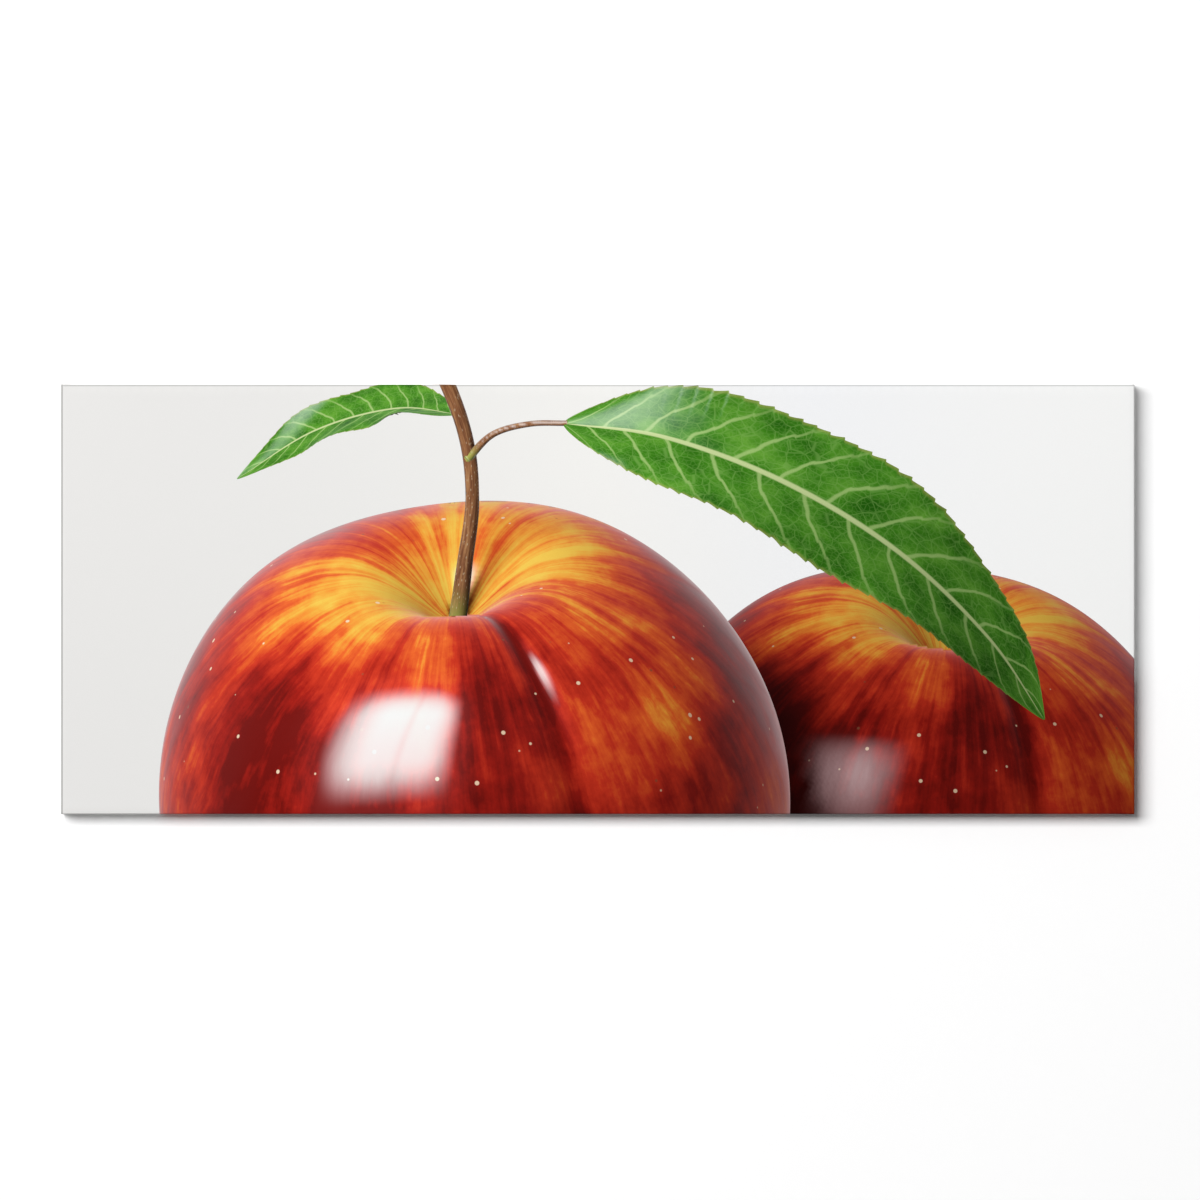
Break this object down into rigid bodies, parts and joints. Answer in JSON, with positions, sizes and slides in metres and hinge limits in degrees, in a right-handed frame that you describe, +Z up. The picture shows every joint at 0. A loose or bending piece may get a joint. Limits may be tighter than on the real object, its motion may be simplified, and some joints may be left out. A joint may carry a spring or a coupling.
{
  "type": "panoramic canvas wall print",
  "caption": "Frameless panoramic canvas print, stretched on a braced and keyed pine frame, stapled behind, with sawtooth hangers on the top bar and felt pads below.",
  "frame": {"origin": "centre of the object's box, half way between the front of the cloth and the back of the felt pads", "axes": "+X along the width, to the right as seen from the front; +Y from the picture side back towards the wall; +Z up"},
  "size_m": [1.25, 0.0244, 0.5],
  "materials": {
    "pine": "planed, unfinished",
    "beech": "sawn, unfinished",
    "printed_cotton": "matte print on woven cloth",
    "zinc_steel": "satin",
    "brass_plate": "satin",
    "felt": "matte"
  },
  "bodies": {
    "root": {"bar_top": "pine", "bar_bottom": "pine", "bar_left": "pine", "bar_right": "pine", "brace_centre": "pine", "canvas": "printed_cotton", "wedge_bottom_left_flat": "beech", "wedge_bottom_left_upright": "beech", "wedge_bottom_right_flat": "beech", "wedge_bottom_right_upright": "beech", "wedge_top_left_flat": "beech", "wedge_top_left_upright": "beech", "wedge_top_right_flat": "beech", "wedge_top_right_upright": "beech", "staple_top_01": "zinc_steel", "staple_top_02": "zinc_steel", "staple_top_03": "zinc_steel", "staple_top_04": "zinc_steel", "staple_top_05": "zinc_steel", "staple_top_06": "zinc_steel", "staple_top_07": "zinc_steel", "staple_top_08": "zinc_steel", "staple_top_09": "zinc_steel", "staple_top_10": "zinc_steel", "staple_top_11": "zinc_steel", "staple_top_12": "zinc_steel", "staple_top_13": "zinc_steel", "staple_bottom_01": "zinc_steel", "staple_bottom_02": "zinc_steel", "staple_bottom_03": "zinc_steel", "staple_bottom_04": "zinc_steel", "staple_bottom_05": "zinc_steel", "staple_bottom_06": "zinc_steel", "staple_bottom_07": "zinc_steel", "staple_bottom_08": "zinc_steel", "staple_bottom_09": "zinc_steel", "staple_bottom_10": "zinc_steel", "staple_bottom_11": "zinc_steel", "staple_bottom_12": "zinc_steel", "staple_bottom_13": "zinc_steel", "staple_left_01": "zinc_steel", "staple_left_02": "zinc_steel", "staple_left_03": "zinc_steel", "staple_left_04": "zinc_steel", "staple_left_05": "zinc_steel", "staple_right_01": "zinc_steel", "staple_right_02": "zinc_steel", "staple_right_03": "zinc_steel", "staple_right_04": "zinc_steel", "staple_right_05": "zinc_steel", "hanger_left": "brass_plate", "nail_left_1": "brass_plate", "nail_left_2": "brass_plate", "pad_left": "felt", "hanger_right": "brass_plate", "nail_right_1": "brass_plate", "nail_right_2": "brass_plate", "pad_right": "felt"}
  },
  "joints": []
}
